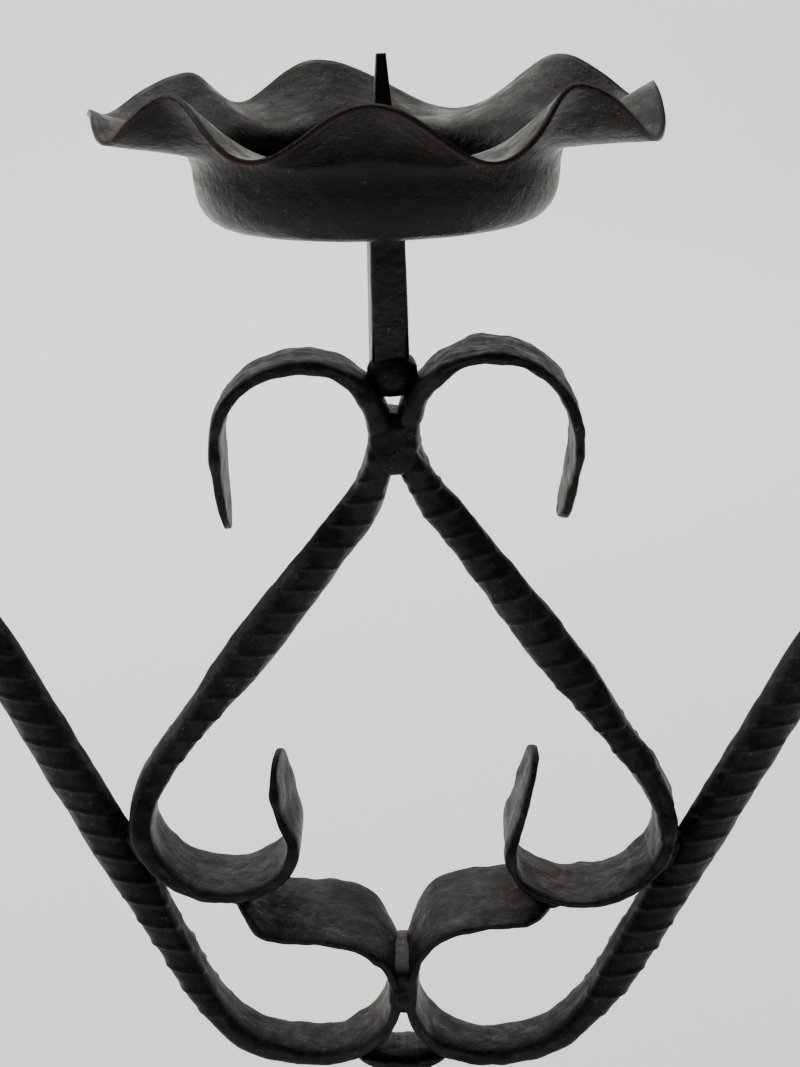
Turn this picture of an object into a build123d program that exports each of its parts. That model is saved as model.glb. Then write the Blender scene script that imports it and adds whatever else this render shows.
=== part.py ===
from build123d import *
import math
import os
from typing import NamedTuple

# A three-light candelabra of hand-forged ribbed bar, in millimetres.
# Z is up, X runs along the arms, the front faces -Y, and the origin is on the floor under the post.
# The left side is at negative X. "Out" is a distance from the middle towards either side.

# Stock. Bar diameters are measured over the ribs.
SCROLL_BAR_DIA = 14.0
ARM_BAR_DIA = 15.0
LEG_BAR_DIA = 15.0
POST_SIDE = 20.0
SHEET = 1.5

# Heights of the whole: floor to the underside of the arms, then up to the waist of the scroll bars,
# then up to the undersides of the drip pans.
BASE_HEIGHT = 169.5
WAIST_RISE = 212.5
PAN_RISE = 67.8

# The frame was set up by eye, so its middle wanders a little from the middle of the base.
WAIST_SHIFT = -2.5
ARMS_SHIFT = 0.5

# Waist, where the two scroll bars touch back to back.
WAIST_THICK = 8.4
WAIST_DEEP = 22.0

# Upper curls: sideways from the plane where the bars touch, and up or down from the waist.
LEFT_CURL_REACH = 55.4
RIGHT_CURL_REACH = 57.2
LEFT_CREST_OUT = 27.8
RIGHT_CREST_OUT = 31.0
LEFT_CREST_RISE = 24.1
RIGHT_CREST_RISE = 27.9
LEFT_CURL_DROP = 29.7
RIGHT_CURL_DROP = 25.4
LEFT_CURL_TIP_IN = 3.2
RIGHT_CURL_TIP_IN = 4.4
CURL_TIP_HEADING = 79.0
CURL_TIP_THICK = 3.1
LEFT_CURL_TIP_DEEP = 18.0
RIGHT_CURL_TIP_DEEP = 26.0
LEFT_CURL_THICK = 4.3
RIGHT_CURL_THICK = 3.8
LEFT_CURL_DEEP = 30.0
RIGHT_CURL_DEEP = 37.0

# Slanted part of a scroll bar, between the bend under the waist and the bend above the elbow.
WAIST_BEND_OUT = 18.2
WAIST_BEND_DROP = 30.0
WAIST_BEND_THICK = 11.6
SLANT_THICK = 14.0
ELBOW_BEND_IN = 9.5
ELBOW_BEND_RISE = 33.0
ELBOW_BEND_THICK = 9.8
ELBOW_BEND_DEEP = 18.5

# Elbow, where the scroll bar touches the arm. Heights are from the underside of the arms.
LEFT_ELBOW_OUT = 82.3
RIGHT_ELBOW_OUT = 84.1
LEFT_ELBOW_RISE = 77.7
RIGHT_ELBOW_RISE = 75.5
LEFT_ELBOW_THICK = 7.2
RIGHT_ELBOW_THICK = 5.6
ELBOW_DEEP = 30.0

# Lower scrolls: the lowest place, the heel where the bar turns up, the shank and the tip.
LOWER_OUT = 57.5
LEFT_LOWER_RISE = 63.3
RIGHT_LOWER_RISE = 60.9
LEFT_LOWER_THICK = 4.8
RIGHT_LOWER_THICK = 3.2
LOWER_DEEP = 34.0
HEEL_OUT = 35.0
HEEL_RISE = 16.5
SHANK_RISE = 28.0
SHANK_LEAN = 3.0
SHANK_DEEP = 28.5
LEFT_TIP_RISE = 44.8
RIGHT_TIP_RISE = 48.2
LEFT_TIP_LEAN = 5.0
RIGHT_TIP_LEAN = 8.2
LEFT_TIP_TURN = 9.0
RIGHT_TIP_TURN = 2.5
SHANK_HEADING = 76.0
LEFT_TIP_HEADING = 92.0
RIGHT_TIP_HEADING = 80.0
TIP_THICK = 3.0
TIP_DEEP = 19.0

# Arms: the straight part leans out, then bends out and up to the side lights.
ARM_LEAN = 28.7
ARM_ABOVE_ELBOW = 78.0
ARM_BELOW_ELBOW = 35.0
SIDE_LIGHT_OUT = 228.0
SIDE_BEND_IN = 42.0
SIDE_BEND_DROP = 57.0
SIDE_BEND_ANGLE = 38.0
SIDE_NECK = 26.0

# Lower run of the arms, and the place where they touch.
LEFT_ARM_LOW_THICK = 11.4
RIGHT_ARM_LOW_THICK = 13.6
ARM_LOW_DEEP = 17.0
ARM_CORNER_OUT = 54.5
ARM_CORNER_RISE = 11.0
ARM_CORNER_THICK = 8.4
ARM_CORNER_DEEP = 21.0
ARM_CORNER_HEADING = 220.0
ARM_RUN_OUT = 26.5
ARM_RUN_THICK = 7.0
ARM_RUN_DEEP = 22.0
KISS_RISE = 28.0
KISS_THICK = 4.8
KISS_DEEP = 35.0

# Tongues: the arms' ends, beaten wide and thin, laid against the undersides of the lower scrolls.
BROW_OUT = 17.3
LEFT_BROW_RISE = 50.2
RIGHT_BROW_RISE = 54.4
LEFT_TONGUE_OUT = 55.0
RIGHT_TONGUE_OUT = 50.0
LEFT_TONGUE_DIP = 6.2
RIGHT_TONGUE_DIP = 0.2
TONGUE_THICK = 2.9
TONGUE_DEEP = 43.0
TONGUE_END_SHARE = 0.75
LEFT_TONGUE_TURN = 5.5
RIGHT_TONGUE_TURN = 4.0
BROW_HEADING = 18.0
SAG_SHARE = 0.65
LEFT_SAG_HEADING = 12.0
RIGHT_SAG_HEADING = 6.0
LEFT_TONGUE_HEADING = 14.0
RIGHT_TONGUE_HEADING = 2.0

# Drip pans: a sheet cup with a fluted flange.
CUP_TOP_RADIUS = 56.5
CUP_FLOOR_RADIUS = 54.5
CUP_HEIGHT = 22.6
CUP_CORNER = 10.5
FLANGE_WIDTH = 32.5
FLUTES = 8
CREST_SLOPE = 36.0
VALLEY_SLOPE = 7.0

# Centre stem and the spikes that hold the candles.
STEM_SIDE = 12.0
STEM_FOOT_RISE = 15.0
STEM_SHIFT = -1.2
STEM_TURN = 8.0
STEM_LEAN = 1.5
NECK_SIDE = 11.0
SPIKE_HEIGHT = 50.0
SPIKE_TIP = 3.0
PAN_LEAN = 1.6
PAN_SHIFT = -2.2
SPIKE_CLEARANCE = 0.2

# Post and legs. Leg heights are from the floor.
POST_LENGTH = 72.0
POST_TOP_RISE = 1.8
POST_EDGE = 1.0
LEG_TOP_DROP = 30.0
LEG_TOP_THICK = 9.0
LEG_TOP_DEEP = 17.0
LEG_STRAIGHT = 24.0
HIP_OUT = 44.0
HIP_RISE = 66.0
HIP_ANGLE = 45.0
SHIN_OUT = 92.0
SHIN_RISE = 25.0
SHIN_ANGLE = 32.0
LEG_REACH = 134.0
SOLE_THICK = 7.5
SOLE_DEEP = 22.0
SOLE_FLAT = 0.5
TOE_OUT = 22.0
TOE_RISE = 20.0
TOE_TIP_IN = 14.0
TOE_TIP_RISE = 32.0
TOE_THICK = 4.4
TOE_DEEP = 27.0
TOE_TIP_HEADING = 190.0

# Laying up: the hairline between two pieces, the rounding of tips, the reach of a weld bead and its
# roundness, and how far the cup's wall reaches into the crease of its flange, in thicknesses of sheet.
SEAM = 0.15
TIP_ROUND = 7.0
BEAD = 4.0
BEAD_ROUND = 0.45
CREASE_FILL = 0.6

LEFT = -1
RIGHT = 1

# Headings a quarter turn apart, in degrees from straight out, turning up.
OUTWARD, UPWARD, INWARD, DOWNWARD = (90 * quarter for quarter in range(4))

# Shapes of a section, from round to nearly a rectangle.
ROUND_SHAPE = 2.0
ELBOW_SHAPE = 2.6
CORNER_SHAPE = 3.2
RUN_SHAPE = 3.6
WAIST_SHAPE = 3.5
FLAT_SHAPE = 5.0
SQUARE_SHAPE = 7.0

# How finely curves are laid out.
SECTION_POINTS = 24
STEPS_PER_SPAN = 4
RIM_POINTS = 72

# Sections of a rounded tip: how near the end each lies, and the least width that it keeps.
TIP_PLACES = (1.0, 0.92, 0.75, 0.45)
TIP_LEAST = 0.35

WAIST_Z = BASE_HEIGHT + WAIST_RISE
PAN_Z = WAIST_Z + PAN_RISE
STEM_FOOT_Z = WAIST_Z + STEM_FOOT_RISE
POST_TOP_Z = BASE_HEIGHT + POST_TOP_RISE
LEG_TOP_Z = BASE_HEIGHT - LEG_TOP_DROP
LEG_TOP_OUT = (POST_SIDE + LEG_TOP_THICK) / 2 + SEAM
HUGE = 4 * (SIDE_LIGHT_OUT + PAN_Z)


class Flute(NamedTuple):
    """One flute of a flange: the angle of its crest, its slope there, and the slope of the next valley."""

    angle: float
    crest: float
    valley: float


# The side pans are fluted evenly. The centre pan was fluted by hand, anticlockwise from the right.
EVEN_FLUTES = [Flute(360 * i / FLUTES, CREST_SLOPE, VALLEY_SLOPE) for i in range(FLUTES)]
HAND_FLUTES = [
    Flute(0, 29, 15),
    Flute(41, 41, 4),
    Flute(105, 38, 12),
    Flute(138, 35, 15),
    Flute(192, 24, 11),
    Flute(226, 39, 6),
    Flute(270, 34, 2),
    Flute(315, 39, 4),
]


class Bend(NamedTuple):
    """One chosen place along a bar: where it is, which way the bar runs there, and its section.

    heading is in degrees from straight out, turning up. turn is the section's twist about the bar.
    """

    out: float
    up: float
    heading: float
    thick: float
    deep: float
    shape: float = FLAT_SHAPE
    turn: float = 0.0


def pick(side, left, right):
    """The value for this side of the frame."""
    return left if side == LEFT else right


def ease(a, b, share):
    """A value between a and b that leaves both of them gently."""
    return a + (b - a) * share * share * (3 - 2 * share)


def outline(plane, deep, thick, shape):
    """A closed section: round at shape 2, and nearly a rectangle with soft corners at 7."""
    points = []
    for i in range(SECTION_POINTS):
        angle = 2 * math.pi * i / SECTION_POINTS
        c = math.cos(angle)
        s = math.sin(angle)
        x = math.copysign(abs(c) ** (2 / shape), c) * deep / 2
        y = math.copysign(abs(s) ** (2 / shape), s) * thick / 2
        points.append(plane.from_local_coords(Vector(x, y, 0)))
    marks = [i / SECTION_POINTS for i in range(SECTION_POINTS + 1)]
    return Wire(Edge.make_spline(points, periodic=True, parameters=marks))


def span(a, b):
    """The middle line from one bend to the next, round where both turn the same way."""
    start = Vector(a.out, 0, a.up)
    end = Vector(b.out, 0, b.up)
    turn = math.radians((b.heading - a.heading + 180) % 360 - 180)
    share = 1 / 3 if abs(turn) < 0.01 else 2 / 3 * math.tan(turn / 4) / math.sin(turn / 2)
    reach = Vector((end - start).length * share, 0, 0)
    return Edge.make_bezier(
        start, start + reach.rotate(Axis.Y, -a.heading), end - reach.rotate(Axis.Y, -b.heading), end
    )


def stations(length, tip_first, tip_last):
    """Places along a span, each a share of its length, with how full the section is there."""
    tip = TIP_ROUND / length
    low = tip if tip_first else 0
    high = 1 - tip if tip_last else 1
    round_off = [(f, max(TIP_LEAST, math.sqrt(1 - f * f))) for f in TIP_PLACES]
    result = [(tip * (1 - f), full) for f, full in round_off] if tip_first else []
    steps = STEPS_PER_SPAN + 1 if tip_last else STEPS_PER_SPAN
    result += [(low + (high - low) * i / STEPS_PER_SPAN, 1) for i in range(steps)]
    result += [(1 - tip * (1 - f), full) for f, full in round_off[::-1]] if tip_last else []
    return result


def section_at(line, a, b, share, full=1):
    """The bar's section at a share of the way from bend a to bend b."""
    spot = line.position_at(share, position_mode=PositionMode.PARAMETER)
    way = line.tangent_at(share, position_mode=PositionMode.PARAMETER)
    plane = Plane(origin=spot, x_dir=(0, 1, 0), z_dir=way).rotated((0, 0, ease(a.turn, b.turn, share)))
    deep = ease(a.deep, b.deep, share) * full
    thick = ease(a.thick, b.thick, share) * (1 + full) / 2
    return outline(plane, deep, thick, ease(a.shape, b.shape, share))


def forged_bar(bends, tip_first=False, tip_last=False):
    """A bar lofted along its bends, each end either cut square or rounded off."""
    wires = []
    pairs = list(zip(bends, bends[1:]))
    for a, b in pairs:
        line = span(a, b)
        first = tip_first and a is bends[0]
        last = tip_last and b is bends[-1]
        for share, full in stations(line.length, first, last):
            wires.append(section_at(line, a, b, share, full))
    if not tip_last:
        wires.append(section_at(line, a, b, 1))
    return Solid.make_loft(wires)


def to_side(shape, side):
    """The shape as drawn, on the right, or mirrored to the left."""
    return shape if side == RIGHT else mirror(shape, about=Plane.YZ)


def own_half(bar, side, middle):
    """The bar without what would cross the plane where the two sides touch."""
    half = Pos(middle + side * HUGE / 2, 0, 0) * Box(HUGE, HUGE, HUGE)
    return bar & half


def slant_angle(side):
    """Heading of the slanted part of a scroll bar, from its upper bend to its lower one."""
    top, low = slant_ends(side)
    return math.degrees(math.atan2(low[1] - top[1], low[0] - top[0]))


def slant_ends(side):
    """Upper and lower end of the slanted part."""
    elbow_out, elbow_z = elbow_place(side)
    top = (WAIST_BEND_OUT, WAIST_Z - WAIST_BEND_DROP)
    low = (elbow_out - ELBOW_BEND_IN, elbow_z + ELBOW_BEND_RISE)
    return top, low


def elbow_place(side):
    """Middle of the scroll bar where it touches the arm."""
    out = pick(side, LEFT_ELBOW_OUT, RIGHT_ELBOW_OUT)
    return out, BASE_HEIGHT + pick(side, LEFT_ELBOW_RISE, RIGHT_ELBOW_RISE)


def lower_z(side):
    """Height of the middle of the bar at the lowest place of the lower scroll."""
    return BASE_HEIGHT + pick(side, LEFT_LOWER_RISE, RIGHT_LOWER_RISE)


def upper_bends(side):
    """Bends of the upper curl, from its tip to the waist."""
    plane_out = side * WAIST_SHIFT
    thick = pick(side, LEFT_CURL_THICK, RIGHT_CURL_THICK)
    deep = pick(side, LEFT_CURL_DEEP, RIGHT_CURL_DEEP)
    crest_out = plane_out + pick(side, LEFT_CREST_OUT, RIGHT_CREST_OUT)
    crest_z = WAIST_Z + pick(side, LEFT_CREST_RISE, RIGHT_CREST_RISE)
    tip_z = WAIST_Z - pick(side, LEFT_CURL_DROP, RIGHT_CURL_DROP)
    tip_in = pick(side, LEFT_CURL_TIP_IN, RIGHT_CURL_TIP_IN)
    tip_deep = pick(side, LEFT_CURL_TIP_DEEP, RIGHT_CURL_TIP_DEEP)
    reach = plane_out + pick(side, LEFT_CURL_REACH, RIGHT_CURL_REACH)
    return [
        Bend(reach - tip_in, tip_z, CURL_TIP_HEADING, CURL_TIP_THICK, tip_deep),
        Bend(reach, WAIST_Z, UPWARD, thick, deep),
        Bend(crest_out, crest_z, INWARD, thick, deep),
        Bend(plane_out + WAIST_THICK / 2 - SEAM, WAIST_Z, DOWNWARD, WAIST_THICK, WAIST_DEEP, WAIST_SHAPE),
    ]


def middle_bends(side):
    """Bends of the slanted part and the elbow."""
    top, low = slant_ends(side)
    slant = slant_angle(side)
    halfway = ((top[0] + low[0]) / 2, (top[1] + low[1]) / 2)
    elbow_thick = pick(side, LEFT_ELBOW_THICK, RIGHT_ELBOW_THICK)
    return [
        Bend(*top, slant, WAIST_BEND_THICK, SCROLL_BAR_DIA, ROUND_SHAPE),
        Bend(*halfway, slant, SLANT_THICK, SCROLL_BAR_DIA, ROUND_SHAPE),
        Bend(*low, slant, ELBOW_BEND_THICK, ELBOW_BEND_DEEP, ELBOW_SHAPE),
        Bend(*elbow_place(side), DOWNWARD - ARM_LEAN, elbow_thick, ELBOW_DEEP),
    ]


def lower_bends(side):
    """Bends of the lower scroll, from its lowest place to its tip."""
    low = lower_z(side)
    thick = pick(side, LEFT_LOWER_THICK, RIGHT_LOWER_THICK)
    tip_out = HEEL_OUT + pick(side, LEFT_TIP_LEAN, RIGHT_TIP_LEAN)
    tip_z = low + pick(side, LEFT_TIP_RISE, RIGHT_TIP_RISE)
    turn = pick(side, LEFT_TIP_TURN, RIGHT_TIP_TURN)
    heading = pick(side, LEFT_TIP_HEADING, RIGHT_TIP_HEADING)
    return [
        Bend(LOWER_OUT, low, INWARD, thick, LOWER_DEEP),
        Bend(HEEL_OUT, low + HEEL_RISE, UPWARD, thick, LOWER_DEEP),
        Bend(HEEL_OUT + SHANK_LEAN, low + SHANK_RISE, SHANK_HEADING, TIP_THICK, SHANK_DEEP, FLAT_SHAPE, turn),
        Bend(tip_out, tip_z, heading, TIP_THICK, TIP_DEEP, FLAT_SHAPE, turn),
    ]


def scroll_bar(side):
    """Ribbed bar with an upper curl, a waist, a slant and a lower scroll."""
    bends = upper_bends(side) + middle_bends(side) + lower_bends(side)
    bar = to_side(forged_bar(bends, tip_first=True, tip_last=True), side)
    return own_half(bar, side, WAIST_SHIFT)


def elbow_seat(side):
    """Middle of the arm beside the elbow, where the arm lies along the scroll bar."""
    out, up = elbow_place(side)
    lean = math.radians(ARM_LEAN)
    reach = (pick(side, LEFT_ELBOW_THICK, RIGHT_ELBOW_THICK) + ARM_BAR_DIA) / 2 + SEAM
    return out + reach * math.cos(lean), up - reach * math.sin(lean)


def along_arm(side, distance):
    """A place on the straight part of the arm, at a distance up it from the elbow."""
    out, up = elbow_seat(side)
    lean = math.radians(ARM_LEAN)
    return out + distance * math.sin(lean), up + distance * math.cos(lean)


def outer_bends(side):
    """Bends of the arm's outer part, from its spike down to the elbow."""
    neck_z = PAN_Z - SIDE_NECK
    side_bend = (SIDE_LIGHT_OUT - SIDE_BEND_IN, neck_z - SIDE_BEND_DROP)
    round_bar = (ARM_BAR_DIA, ARM_BAR_DIA, ROUND_SHAPE)
    return [
        Bend(SIDE_LIGHT_OUT, PAN_Z + SPIKE_HEIGHT, DOWNWARD, SPIKE_TIP, SPIKE_TIP, SQUARE_SHAPE),
        Bend(SIDE_LIGHT_OUT, PAN_Z, DOWNWARD, NECK_SIDE, NECK_SIDE, SQUARE_SHAPE),
        Bend(SIDE_LIGHT_OUT, neck_z, DOWNWARD, STEM_SIDE, STEM_SIDE, SQUARE_SHAPE),
        Bend(*side_bend, INWARD + SIDE_BEND_ANGLE, *round_bar),
        Bend(*along_arm(side, ARM_ABOVE_ELBOW), DOWNWARD - ARM_LEAN, *round_bar),
        Bend(*elbow_seat(side), DOWNWARD - ARM_LEAN, *round_bar),
    ]


def inner_bends(side):
    """Bends of the arm's lower run, up to the place where the arms touch."""
    low_thick = pick(side, LEFT_ARM_LOW_THICK, RIGHT_ARM_LOW_THICK)
    corner = (ARM_CORNER_OUT, BASE_HEIGHT + ARM_CORNER_RISE)
    run_z = BASE_HEIGHT + ARM_RUN_THICK / 2
    kiss_out = side * ARMS_SHIFT + KISS_THICK / 2 - SEAM
    return [
        Bend(*along_arm(side, -ARM_BELOW_ELBOW), DOWNWARD - ARM_LEAN, low_thick, ARM_LOW_DEEP, ELBOW_SHAPE),
        Bend(*corner, ARM_CORNER_HEADING, ARM_CORNER_THICK, ARM_CORNER_DEEP, CORNER_SHAPE),
        Bend(ARM_RUN_OUT, run_z, INWARD, ARM_RUN_THICK, ARM_RUN_DEEP, RUN_SHAPE),
        Bend(kiss_out, BASE_HEIGHT + KISS_RISE, UPWARD, KISS_THICK, KISS_DEEP, WAIST_SHAPE),
    ]


def tongue_bends(side):
    """Bends of the arm's tongue, which ends against the underside of the lower scroll."""
    scroll_thick = pick(side, LEFT_LOWER_THICK, RIGHT_LOWER_THICK)
    brow_z = BASE_HEIGHT + pick(side, LEFT_BROW_RISE, RIGHT_BROW_RISE)
    end_out = pick(side, LEFT_TONGUE_OUT, RIGHT_TONGUE_OUT)
    end_z = lower_z(side) - (scroll_thick + TONGUE_THICK) / 2 - SEAM
    turn = pick(side, LEFT_TONGUE_TURN, RIGHT_TONGUE_TURN)
    sag_out = BROW_OUT + SAG_SHARE * (end_out - BROW_OUT)
    sag_z = end_z - pick(side, LEFT_TONGUE_DIP, RIGHT_TONGUE_DIP)
    sag_heading = pick(side, LEFT_SAG_HEADING, RIGHT_SAG_HEADING)
    end_heading = pick(side, LEFT_TONGUE_HEADING, RIGHT_TONGUE_HEADING)
    return [
        Bend(BROW_OUT, brow_z, BROW_HEADING, TONGUE_THICK, TONGUE_DEEP, FLAT_SHAPE, turn),
        Bend(sag_out, sag_z, sag_heading, TONGUE_THICK, TONGUE_DEEP, FLAT_SHAPE, turn),
        Bend(end_out, end_z, end_heading, TONGUE_THICK, TONGUE_END_SHARE * TONGUE_DEEP),
    ]


def arm(side):
    """Ribbed bar from a side light down past the elbow, along the bottom and up into a tongue."""
    bends = outer_bends(side) + inner_bends(side) + tongue_bends(side)
    bar = to_side(forged_bar(bends, tip_last=True), side)
    return own_half(bar, side, ARMS_SHIFT)


def head_place():
    """Foot of the centre stem, leaning with the stem."""
    return Pos(WAIST_SHIFT + STEM_SHIFT, 0, STEM_FOOT_Z) * Rot(0, -STEM_LEAN, 0)


def centre_stem():
    """Square bar drawn to a spike, its foot cut to sit between the two scroll bars."""
    pan_height = PAN_Z - STEM_FOOT_Z
    levels = [(0, STEM_SIDE), (pan_height, NECK_SIDE), (pan_height + SPIKE_HEIGHT, SPIKE_TIP)]
    wires = [outline(Plane.XY.offset(z), side, side, SQUARE_SHAPE) for z, side in levels]
    return head_place() * Rot(0, 0, STEM_TURN) * Solid.make_loft(wires, ruled=True)


def flange_slope(flutes, angle):
    """Slope of a fluted flange at an angle around the pan, in radians."""
    for this, following in zip(flutes, flutes[1:] + flutes[:1]):
        gap = (following.angle - this.angle) % 360
        share = (angle - this.angle) % 360 / gap
        if share < 1:
            crest = this.crest if share < 0.5 else following.crest
            swing = (1 + math.cos(2 * math.pi * share)) / 2
            return math.radians(this.valley + (crest - this.valley) * swing)


def ring(flutes, start, width, lift):
    """A closed curve on the flange, a width out from its start radius and lifted off its underside."""
    points = []
    for i in range(RIM_POINTS):
        angle = 360 * i / RIM_POINTS
        slope = flange_slope(flutes, angle)
        radius = start + width * math.cos(slope) - (lift * math.sin(slope) if width else 0)
        height = CUP_HEIGHT + width * math.sin(slope) + (lift * math.cos(slope) if width else lift)
        points.append(Vector(radius, 0, height).rotate(Axis.Z, angle))
    marks = [i / RIM_POINTS for i in range(RIM_POINTS + 1)]
    return Wire(Edge.make_spline(points, periodic=True, parameters=marks))


def cup_solid(inset, top):
    """The cup as a solid up to a height, or its hollow when inset by the sheet."""
    corners = [
        (0, inset),
        (CUP_FLOOR_RADIUS - inset, inset),
        (CUP_TOP_RADIUS - inset, CUP_HEIGHT),
        (CUP_TOP_RADIUS - inset, top),
        (0, top),
    ]
    profile = Plane.XZ * make_face(Polyline(*corners, close=True))
    turn = profile.vertices().sort_by(Axis.Z)[:2].sort_by(Axis.X)[-1]
    return revolve(fillet(turn, CUP_CORNER - inset), Axis.Z)


def drip_pan(flutes, hole_x, hole_turn):
    """Sheet cup with a fluted flange, and a square hole for the spike. Its underside is at height 0."""
    root = CUP_TOP_RADIUS - SHEET / 2
    width = FLANGE_WIDTH + SHEET / 2
    edges = [(0, 0), (width, 0), (width, SHEET), (0, SHEET)]
    flange = Solid.make_loft([ring(flutes, root, out, lift) for out, lift in edges], ruled=True)
    hole_side = NECK_SIDE + 2 * SPIKE_CLEARANCE
    hole = Pos(hole_x, 0, 0) * Rot(0, 0, hole_turn) * Box(hole_side, hole_side, 4 * SHEET)
    cup = cup_solid(0, CUP_HEIGHT + CREASE_FILL * SHEET)
    return cup + flange - cup_solid(SHEET, 2 * CUP_HEIGHT) - hole


def centre_pan_place():
    """Place of the centre pan: a little off its stem, and not quite square to it."""
    return head_place() * Pos(PAN_SHIFT, 0, PAN_Z - STEM_FOOT_Z) * Rot(0, STEM_LEAN - PAN_LEAN, 0)


def bead(size, place):
    """A rounded lump of weld metal before it is cut to the pieces it joins."""
    block = Box(*size)
    return place * fillet(block.edges(), BEAD_ROUND * min(size))


def pan_weld(place, hole_x, spike):
    """Ring of weld metal under a pan, around what carries it."""
    low = 0.6 * NECK_SIDE
    ring_weld = Cone(low, low + BEAD, BEAD, align=(Align.CENTER, Align.CENTER, Align.MAX))
    return place * Pos(hole_x, 0, 0) * ring_weld - spike


def post():
    """Short square post, its edges eased."""
    block = Box(POST_SIDE, POST_SIDE, POST_LENGTH, align=(Align.CENTER, Align.CENTER, Align.MAX))
    return Pos(0, 0, POST_TOP_Z) * chamfer(block.edges(), POST_EDGE)


def leg():
    """Ribbed bar down the post's side and out to a rounded toe. Its sole is beaten flat."""
    sole_z = SOLE_THICK / 2 - SOLE_FLAT
    toe_out = LEG_REACH + TOE_OUT
    round_bar = (LEG_BAR_DIA, LEG_BAR_DIA, ROUND_SHAPE)
    bends = [
        Bend(LEG_TOP_OUT, LEG_TOP_Z, DOWNWARD, LEG_TOP_THICK, LEG_TOP_DEEP, WAIST_SHAPE),
        Bend(LEG_TOP_OUT, LEG_TOP_Z - LEG_STRAIGHT, DOWNWARD, LEG_TOP_THICK, LEG_TOP_DEEP, WAIST_SHAPE),
        Bend(HIP_OUT, HIP_RISE, -HIP_ANGLE, *round_bar),
        Bend(SHIN_OUT, SHIN_RISE, -SHIN_ANGLE, *round_bar),
        Bend(LEG_REACH, sole_z, OUTWARD, SOLE_THICK, SOLE_DEEP, WAIST_SHAPE),
        Bend(toe_out, TOE_RISE, UPWARD, TOE_THICK, TOE_DEEP),
        Bend(toe_out - TOE_TIP_IN, TOE_TIP_RISE, TOE_TIP_HEADING, TIP_THICK, TOE_DEEP),
    ]
    bar = forged_bar(bends, tip_last=True)
    return bar & Pos(0, 0, HUGE / 2) * Box(HUGE, HUGE, HUGE)


def leg_weld(own_leg, own_post):
    """Weld metal over the top of a leg, against the post."""
    place = Pos(POST_SIDE / 2 + SEAM, 0, LEG_TOP_Z)
    return bead((2.8 * BEAD, 0.8 * POST_SIDE, 2.4 * BEAD), place) - own_leg - own_post


def elbow_weld(side, bar, own_arm):
    """Weld metal along the line where an arm touches the elbow."""
    out, up = elbow_place(side)
    seat_out, seat_z = elbow_seat(side)
    thick = pick(side, LEFT_ELBOW_THICK, RIGHT_ELBOW_THICK)
    share = thick / (thick + ARM_BAR_DIA)
    spot = (side * (out + (seat_out - out) * share), 0, up + (seat_z - up) * share)
    size = (2 * BEAD, 1.1 * ARM_BAR_DIA, 1.1 * ARM_BAR_DIA)
    return bead(size, Pos(*spot) * Rot(0, side * ARM_LEAN, 0)) - bar - own_arm


def tongue_weld(side, bar, own_arm):
    """Weld metal between the end of a tongue and the scroll above it."""
    seam_z = lower_z(side) - pick(side, LEFT_LOWER_THICK, RIGHT_LOWER_THICK) / 2
    out = pick(side, LEFT_TONGUE_OUT, RIGHT_TONGUE_OUT) - BEAD / 2
    size = (2.8 * BEAD, 0.6 * TONGUE_DEEP, 1.5 * BEAD)
    return bead(size, Pos(side * out, 0, seam_z)) - bar - own_arm


def frame_welds(pieces):
    """Weld metal in the middle of the frame, from the stem's foot down to the post."""
    bars = pieces["left_scroll_bar"], pieces["right_scroll_bar"]
    arms = pieces["left_arm"], pieces["right_arm"]
    foot = Pos(WAIST_SHIFT + STEM_SHIFT / 2, 0, STEM_FOOT_Z + 1.2 * BEAD)
    waist = Pos(WAIST_SHIFT, 0, WAIST_Z - BEAD / 2)
    kiss = Pos(ARMS_SHIFT, 0, BASE_HEIGHT + KISS_RISE + BEAD / 3)
    under = Pos(0, 0, POST_TOP_Z - 0.1 * BEAD)
    return {
        "stem_weld": bead((5 * BEAD, 1.6 * STEM_SIDE, 2.4 * BEAD), foot) - pieces["centre_stem"] - bars,
        "waist_weld": bead((2.4 * BEAD, WAIST_DEEP + BEAD / 2, 4.4 * BEAD), waist) - bars,
        "arms_weld": bead((2 * BEAD, KISS_DEEP + BEAD / 2, 3.3 * BEAD), kiss) - arms,
        "post_weld": bead((1.6 * POST_SIDE, 1.2 * POST_SIDE, 1.4 * BEAD), under) - arms - pieces["post"],
    }


def main():
    """Build every piece and write one STEP file for each."""
    os.makedirs("parts", exist_ok=True)
    pieces = {}
    for side, name in ((LEFT, "left"), (RIGHT, "right")):
        bar = scroll_bar(side)
        own_arm = arm(side)
        place = Pos(side * SIDE_LIGHT_OUT, 0, PAN_Z)
        pieces[f"{name}_scroll_bar"] = bar
        pieces[f"{name}_arm"] = own_arm
        pieces[f"{name}_arm_weld"] = elbow_weld(side, bar, own_arm)
        pieces[f"{name}_tongue_weld"] = tongue_weld(side, bar, own_arm)
        pieces[f"{name}_drip_pan"] = place * drip_pan(EVEN_FLUTES, 0, 0)
        pieces[f"{name}_pan_weld"] = pan_weld(place, 0, own_arm)
    bars = [pieces["left_scroll_bar"], pieces["right_scroll_bar"]]
    pieces["centre_stem"] = centre_stem() - bars
    pieces["centre_drip_pan"] = centre_pan_place() * drip_pan(HAND_FLUTES, -PAN_SHIFT, STEM_TURN)
    pieces["centre_pan_weld"] = pan_weld(centre_pan_place(), -PAN_SHIFT, pieces["centre_stem"])
    pieces["post"] = post()
    one_leg = leg()
    one_weld = leg_weld(one_leg, pieces["post"])
    for name, angle in (("right", 0), ("back", 90), ("left", 180), ("front", 270)):
        pieces[f"{name}_leg"] = Rot(0, 0, angle) * one_leg
        pieces[f"{name}_leg_weld"] = Rot(0, 0, angle) * one_weld
    pieces.update(frame_welds(pieces))
    for name, piece in pieces.items():
        export_step(piece, f"parts/{name}.step")


main()
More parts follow.
